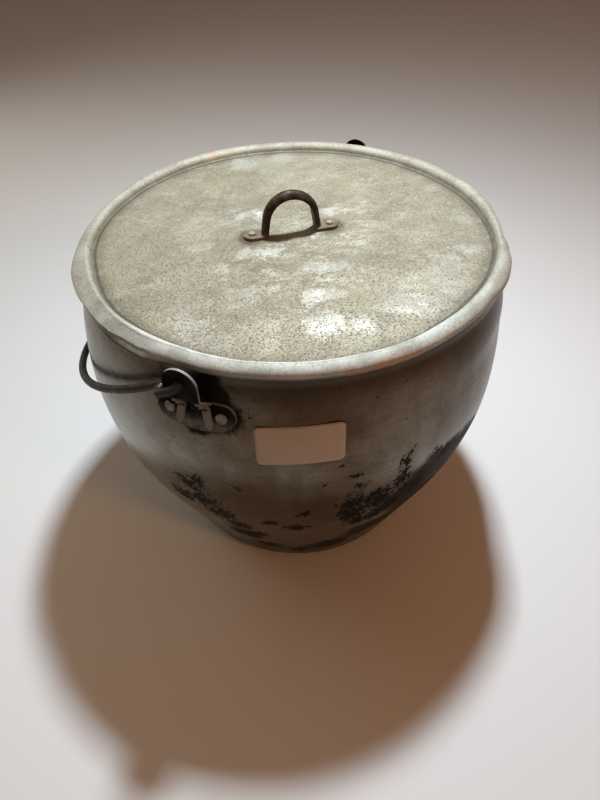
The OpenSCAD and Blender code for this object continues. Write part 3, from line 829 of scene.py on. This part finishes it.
polish = less(tree, rubbed, times(tree, grain, 0.5))
wire_up(tree, shader, colour=patina, metal=step(tree, rubbed, 0, 1, 0.32, 0.38),
        rough=plus(tree, step(tree, polish, -0.4, 0.9, 0.58, 0.48), times(tree, on_bead, 0.1)))
shader.inputs["Specular IOR Level"].default_value = 0.3
ripple = times(tree, folds, plus(tree, times(tree, crumpled, 20.0), 7.0))
texture = plus(tree, times(tree, mottle, 4.0),
               less(tree, times(tree, grain, 0.6), times(tree, pits, on_panel)))
relief(tree, shader, plus(tree, times(tree, ripple, on_panel), texture), LID_RELIEF)
finished(lid_bm, "lid_sheet", lid_finish, "lid", "lid_aluminium", "lid_shell")

# %% [markdown]
# ## The sticker
# A paper sticker with round corners is stuck on the body. It is a small grid, bevelled at its
# corners while still flat, then wrapped round the wall: width becomes angle and height stays
# height. A shrinkwrap modifier could lay it on as well, but this keeps its size true. Its face is
# left blank, and its corners lift a little.

# %% Make the sticker
STICKER_AT = (23.0, 182.5)  # azimuth in degrees, height in millimetres
STICKER = (46.4 * MM, 25.0 * MM)
STICKER_ROUND, STICKER_T, STICKER_TILT = 3.2 * MM, 0.12 * MM, 0.03
ROUND_STEPS, CUTS_ACROSS, CUTS_UP = 6, 24, 14
STICKER_GAP, CORNER_LIFT = 0.05 * MM, 0.25 * MM
LIFT_FROM = (1.3e-4, 2.6e-4)  # width times height from the middle, in square metres

bm = bmesh.new()
bmesh.ops.create_grid(bm, x_segments=1, y_segments=1, size=0.5)
for vert in bm.verts:
    vert.co.x *= STICKER[0]
    vert.co.y *= STICKER[1]
bmesh.ops.bevel(bm, geom=bm.verts[:], offset=STICKER_ROUND, offset_type="OFFSET",
                segments=ROUND_STEPS, profile=0.5, affect="VERTICES", material=-1)
for axis, size, cuts in ((0, STICKER[0], CUTS_ACROSS), (1, STICKER[1], CUTS_UP)):
    normal = Vector((axis == 0, axis == 1, 0))
    for i in range(1, cuts):
        bmesh.ops.bisect_plane(bm, geom=bm.verts[:] + bm.edges[:] + bm.faces[:],
                               plane_co=normal * size * (i / cuts - 0.5), plane_no=normal)
for vert in bm.verts:
    lift = STICKER_GAP + CORNER_LIFT * fade(abs(vert.co.x) * abs(vert.co.y), *LIFT_FROM)
    z = STICKER_AT[1] * MM + vert.co.y + STICKER_TILT * vert.co.x
    turn = math.degrees(vert.co.x / wall_r(z))
    vert.co = on_wall(STICKER_AT[0] + turn, z, lift + WAVE)
bmesh.ops.recalc_face_normals(bm, faces=bm.faces)
if sum(f.normal.dot(f.calc_center_median()) for f in bm.faces) < 0:
    bmesh.ops.reverse_faces(bm, faces=bm.faces)
bmesh.ops.solidify(bm, geom=bm.faces[:], thickness=STICKER_T)
print("sticker wrapped:", len(bm.faces), "faces")

# %% Finish of the sticker
# Painted shade: the paper is white, but its colours are darkened and warmed for the dim warm light
# it lies in.
SHADED_PAPER, SHADED_PAPER_GRIME = (0.47, 0.37, 0.27), (0.36, 0.28, 0.20)
PAPER_RELIEF = 0.00003  # metres

paper, tree, shader, place = new_finish("shaded_sticker_paper")
fibre = cloud(tree, place, 900, 4, 0.6)
grime = step(tree, cloud(tree, place, 60, 6, 0.6), 0.5, 0.8)
wire_up(tree, shader, colour=tint(tree, times(tree, grime, 0.3), SHADED_PAPER, SHADED_PAPER_GRIME), rough=0.62)
relief(tree, shader, fibre, PAPER_RELIEF)
finished(bm, "paper_sticker", paper, "pot", "label_paper")

# %% [markdown]
# ## Ears, rivets, bail and lid handle
# These solids already have the right shape, so the CAD nodes stay and only get a finish. The ears
# are black with soot and painted shade, greyer below the rivets, pale on their cut edges with bare
# metal and a painted highlight, and bare on their pressed ribs. The rivets are rubbed, the wire
# and the lid handle are browned steel. One function makes the metal, and three more lay a colour
# over it by height, on edges or on what stands proud.

# %% Worn metal
def steel(name, dark, light, metal, rough, lump, depth):
    """Browned or sooty metal: dark base with lighter rubbed lumps."""
    finish, tree, shader, place = new_finish(name)
    lumps = cloud(tree, place, lump, 7, 0.65)
    fine = cloud(tree, place, lump * 9, 4, 0.6)
    worn = step(tree, plus(tree, lumps, times(tree, fine, 0.3)), 0.52, 0.86)
    colour = tint(tree, worn, dark, light)
    wire_up(tree, shader, colour=colour, metal=step(tree, worn, 0, 1, metal * 0.6, metal),
            rough=step(tree, worn, 0, 1, rough + 0.15, rough))
    relief(tree, shader, plus(tree, lumps, fine), depth)
    return finish, tree, shader, place, colour


def laid_over(made, amount, colour):
    """A finish with one more colour over it."""
    finish, tree, shader, place, under = made
    mixed = tint(tree, amount, under, colour)
    wire_up(tree, shader, colour=mixed)
    return finish, tree, shader, place, mixed


def by_height(made, low, high, colour):
    """Lays a colour over a finish where the piece is lower than high, fully below low."""
    tree, place = made[1], made[3]
    level = step(tree, height_of(tree, place), high, low)
    rough_edge = step(tree, cloud(tree, place, 190, 5, 0.65), 0.25, 0.6, 0.3, 1)
    return laid_over(made, times(tree, level, rough_edge), colour)


def across_axis(tree, place):
    """The part of a place that lies across the pot's axis."""
    return put(tree, "VectorMath", {0: place, 1: (1, 1, 0)}, operation="MULTIPLY").outputs[0]


def bright_edges(made, colour):
    """Lays a colour on the cut edges of a sheet that stands across the pot's radius: bare metal and
    a painted highlight.
    """
    tree, place = made[1], made[3]
    radial = put(tree, "VectorMath", {0: across_axis(tree, place)},
                 operation="NORMALIZE").outputs[0]
    facing = put(tree, "VectorMath", {0: radial, 1: put(tree, "TexCoord").outputs["Normal"]},
                 operation="DOT_PRODUCT").outputs["Value"]
    # Painted highlight: the cut edges pale, as well as bare metal.
    bare_and_highlit = times(tree, step(tree, unsigned(tree, facing), 0.55, 0.3),
                 step(tree, cloud(tree, place, 260, 5, 0.65), 0.25, 0.55, 0.45, 1))
    return laid_over(made, bare_and_highlit, colour)


# %% Rubbed ribs
EAR_T = 1.4 * MM
RIB_LOW, RIB_HIGH = 0.184, 0.204  # heights between which the ribs run
RIB_FADE = 2 * MM
PROUD = (0.9 * MM, 1.8 * MM)  # over the plate, where a rib starts to be bare and is bare


def rubbed_ribs(made, colour):
    """Lays a colour on what stands proud of an ear's plate: the two pressed ribs."""
    tree, place = made[1], made[3]
    radius = put(tree, "VectorMath", {0: across_axis(tree, place)},
                 operation="LENGTH").outputs["Value"]
    level = height_of(tree, place)
    lean = (wall_r(RIB_HIGH) - wall_r(RIB_LOW)) / (RIB_HIGH - RIB_LOW)
    face = put(tree, "Math", {0: level, 1: lean, 2: wall_r(RIB_LOW) - lean * RIB_LOW},
               operation="MULTIPLY_ADD").outputs[0]
    proud = step(tree, less(tree, radius, face), EAR_T + PROUD[0], EAR_T + PROUD[1])
    on_plate = step(tree, level, RIB_HIGH, RIB_HIGH - RIB_FADE)
    return laid_over(made, times(tree, proud, on_plate), colour)


# %% Finishes of the small metal parts
# The edge colour below is bare metal and a painted highlight.
EAR_GREY, EAR_EDGE, EAR_RIB = (0.16, 0.145, 0.118), (0.27, 0.26, 0.24), (0.21, 0.19, 0.158)
EAR_GREY_AT = (0.190, 0.199)  # heights below and above which an ear is grey and black
BAR_FOOT = (0.20, 0.16, 0.115)
BAR_FOOT_AT = (panel_z + 1.9 * MM, panel_z + 3.2 * MM)

# Painted shade: the ears' black is soot and shade painted in together.
ear_finish = steel("sooty_shaded_sheet", dark=(0.004, 0.0032, 0.0026), light=(0.012, 0.010, 0.008),
                   metal=0.5, rough=0.5, lump=110, depth=8e-5)
ear_finish[2].inputs["Specular IOR Level"].default_value = 0.05
ear_finish = by_height(ear_finish, *EAR_GREY_AT, EAR_GREY)
ear_finish = bright_edges(ear_finish, EAR_EDGE)
ear_finish = rubbed_ribs(ear_finish, EAR_RIB)
bar_finish = steel("browned_bar", dark=(0.019, 0.012, 0.007), light=(0.09, 0.058, 0.035),
                   metal=0.5, rough=0.45, lump=150, depth=6e-5)
bar_finish[2].inputs["Specular IOR Level"].default_value = 0.2
bar_finish = by_height(bar_finish, *BAR_FOOT_AT, BAR_FOOT)
ear_rivet_finish = steel("rubbed_rivet", dark=(0.15, 0.125, 0.10), light=(0.27, 0.235, 0.19),
                         metal=0.8, rough=0.38, lump=300, depth=4e-5)
lid_rivet_finish = steel("lid_rivet", dark=(0.28, 0.24, 0.185), light=(0.48, 0.44, 0.375),
                         metal=0.7, rough=0.36, lump=300, depth=3e-5)
wire_finish = steel("browned_wire", dark=(0.012, 0.009, 0.006), light=(0.055, 0.041, 0.028),
                    metal=0.8, rough=0.4, lump=120, depth=5e-5)

# %% Put them on the CAD nodes
FINISHES = {"ear": ear_finish[0], "lid_handle": bar_finish[0], "ear_rivet": ear_rivet_finish[0],
            "lid_rivet": lid_rivet_finish[0], "bail": wire_finish[0]}
longest_first = sorted(FINISHES, key=len, reverse=True)

for name, piece in nodes.items():
    kind = next((k for k in longest_first if name.startswith(k)), None)
    if kind is None:
        continue
    piece.data.materials.clear()
    piece.data.materials.append(FINISHES[kind])
    print(name, "->", FINISHES[kind].name)

# %% [markdown]
# ## Floor and light
# The pot stands on a plain pale floor. A small cool lamp hangs overhead, a little behind the pot,
# so the lid is bright, the front is in shade, and the shadow falls forward with a fairly firm
# edge. A warm lamp at the right and a soft one at the left light the shade, and a wide dim lamp
# stands for the ceiling.

# %% Floor
FLOOR_HALF = 3.0  # metres
FLOOR_COLOUR = (0.8, 0.79, 0.78, 1)

bm = bmesh.new()
bmesh.ops.create_grid(bm, x_segments=2, y_segments=2, size=FLOOR_HALF)
floor_mesh = bpy.data.meshes.new("floor")
bm.to_mesh(floor_mesh)
bm.free()
floor = bpy.data.objects.new("floor", floor_mesh)
bpy.context.scene.collection.objects.link(floor)
floor_finish, _, shader, _ = new_finish("pale_floor")
shader.inputs["Base Color"].default_value = FLOOR_COLOUR
shader.inputs["Roughness"].default_value = 0.7
floor_mesh.materials.append(floor_finish)
print("floor", 2 * FLOOR_HALF, "m wide")

# %% Lamps
COOL, AMBER = (0.82, 0.92, 1.0), (1.0, 0.57, 0.31)
WARM, SOFT_WHITE = (1.0, 0.43, 0.17), (0.97, 0.95, 0.80)
LAMPS = [  # name, place and aim in metres, size in metres, power in watts, colour
    ("overhead", (-0.161, -0.001, 0.778), (0.0, 0, 0.1), 0.058, 6.6, COOL),
    ("ceiling", (0, 0, 2.5), (0, 0, 0), 3.0, 5.5, AMBER),
    ("warm_side", (0.58, 1.60, 1.06), (0, 0, 0.1), 0.3, 5.6, WARM),
    ("left_fill", (-0.2, -1.0, 0.6), (0, 0, 0.1), 0.8, 1.9, SOFT_WHITE)]

for name, at, aim, size, power, colour in LAMPS:
    data = bpy.data.lights.new(name, "AREA")
    data.size, data.energy, data.color = size, power, colour
    lamp = bpy.data.objects.new(name, data)
    bpy.context.scene.collection.objects.link(lamp)
    lamp.location = at
    lamp.rotation_mode = "QUATERNION"
    lamp.rotation_quaternion = (Vector(aim) - Vector(at)).to_track_quat("-Z", "Y")
    print("lamp", name, power, "W")

# %% [markdown]
# The world gives only a little warm light. Camera, glossy and transmission rays see a pale
# backdrop in its place, so that bare metal has a room to mirror and no more light falls on the
# pot.

# %% World
ROOM_LIGHT, ROOM_STRENGTH = (1.0, 0.60, 0.36, 1), 0.07
BACKDROP = (0.36, 0.31, 0.27, 1)

world = bpy.data.worlds.new("room")
world.use_nodes = True
tree = world.node_tree
dim = tree.nodes["Background"]
dim.inputs["Color"].default_value = ROOM_LIGHT
dim.inputs["Strength"].default_value = ROOM_STRENGTH
backdrop = put(tree, "Background", {"Color": BACKDROP, "Strength": 1.0})
path = put(tree, "LightPath").outputs
seen = most(tree, path["Is Camera Ray"],
            most(tree, path["Is Glossy Ray"], path["Is Transmission Ray"]))
room = put(tree, "MixShader", {0: seen, 1: dim.outputs[0], 2: backdrop.outputs[0]})
tree.links.new(room.outputs[0], tree.nodes["World Output"].inputs["Surface"])
bpy.context.scene.world = world
bpy.context.scene.view_settings.view_transform = "Standard"
print("world:", len(tree.nodes), "nodes")
